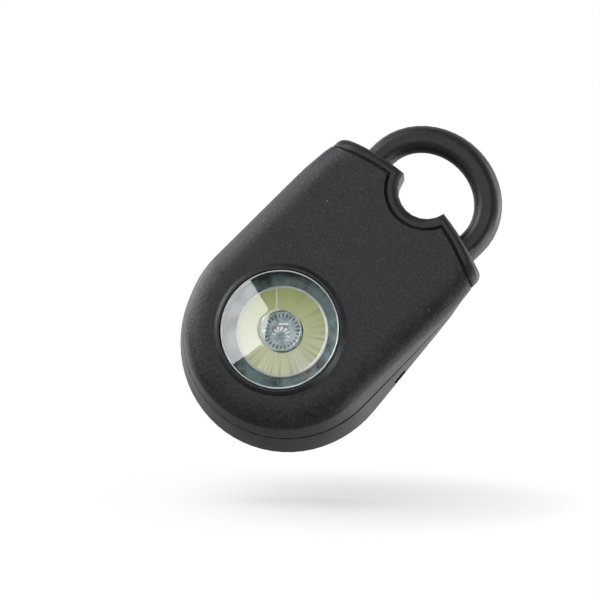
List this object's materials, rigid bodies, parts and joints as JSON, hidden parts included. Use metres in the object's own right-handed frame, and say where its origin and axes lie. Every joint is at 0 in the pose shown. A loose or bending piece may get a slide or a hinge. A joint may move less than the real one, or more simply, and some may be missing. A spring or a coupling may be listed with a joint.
{
  "type": "personal alarm",
  "caption": "Keychain personal alarm shaped like a padlock: rounded body with a round lens light, and a loop cap that pulls off the top to trip the siren.",
  "frame": {"origin": "middle of the width and depth, at the body's lowest point", "axes": "+Z to the carrying loop, -Y out of the face with the lens, X the width"},
  "size_m": [0.0456, 0.0198, 0.0768],
  "materials": {
    "matte_black": "fine-textured matte black moulded plastic",
    "clear_acrylic": "clear polished acrylic",
    "dark_plastic": "plain black plastic",
    "teal_board": "dark teal solder mask",
    "green_board": "green solder mask",
    "white_plastic": "plain white plastic",
    "white_ceramic": "silvered white ceramic",
    "phosphor": "yellow-green LED phosphor",
    "brass": "bare brass sheet",
    "steel": "plated steel",
    "copper_winding": "enamelled copper wire",
    "grey_foam": "closed-cell foam",
    "red_jacket": "red wire jacket"
  },
  "bodies": {
    "housing": {"back_shell": "matte_black", "board_screw_left": "steel", "board_screw_right": "steel", "buffer_capacitor": "steel", "cell_carrier": "dark_plastic", "coin_cell_back": "steel", "coin_cell_front": "steel", "contact_negative": "brass", "contact_positive": "brass", "driver_chip": "dark_plastic", "drum_transformer": "copper_winding", "front_shell": "matte_black", "lead_negative": "steel", "lead_positive": "steel", "led_board": "teal_board", "led_cup": "dark_plastic", "led_dam": "white_plastic", "led_dome": "clear_acrylic", "led_phosphor": "phosphor", "led_pin_left": "brass", "led_pin_right": "brass", "lens": "clear_acrylic", "lens_spacer": "dark_plastic", "main_board": "green_board", "piezo_ceramic": "white_ceramic", "piezo_foam": "grey_foam", "piezo_plate": "brass", "siren_wire_black": "dark_plastic", "siren_wire_red": "red_jacket", "switch_wire_inner": "red_jacket", "switch_wire_outer": "dark_plastic", "trigger_switch": "dark_plastic"},
    "cap": {"pull_cap": "matte_black"},
    "plunger": {"trigger_plunger": "white_plastic"}
  },
  "joints": [
    {"name": "cap_pull", "type": "slide", "parent": "housing", "child": "cap", "axis": [0, 0, 1], "range_m": [0, 0.03]},
    {"name": "plunger_rise", "type": "slide", "parent": "housing", "child": "plunger", "axis": [0, 0, 1], "range_m": [0, 0.00125]}
  ],
  "couplings": [
    {"joint": "plunger_rise", "follows": "cap_pull", "ratio": 0.04}
  ]
}
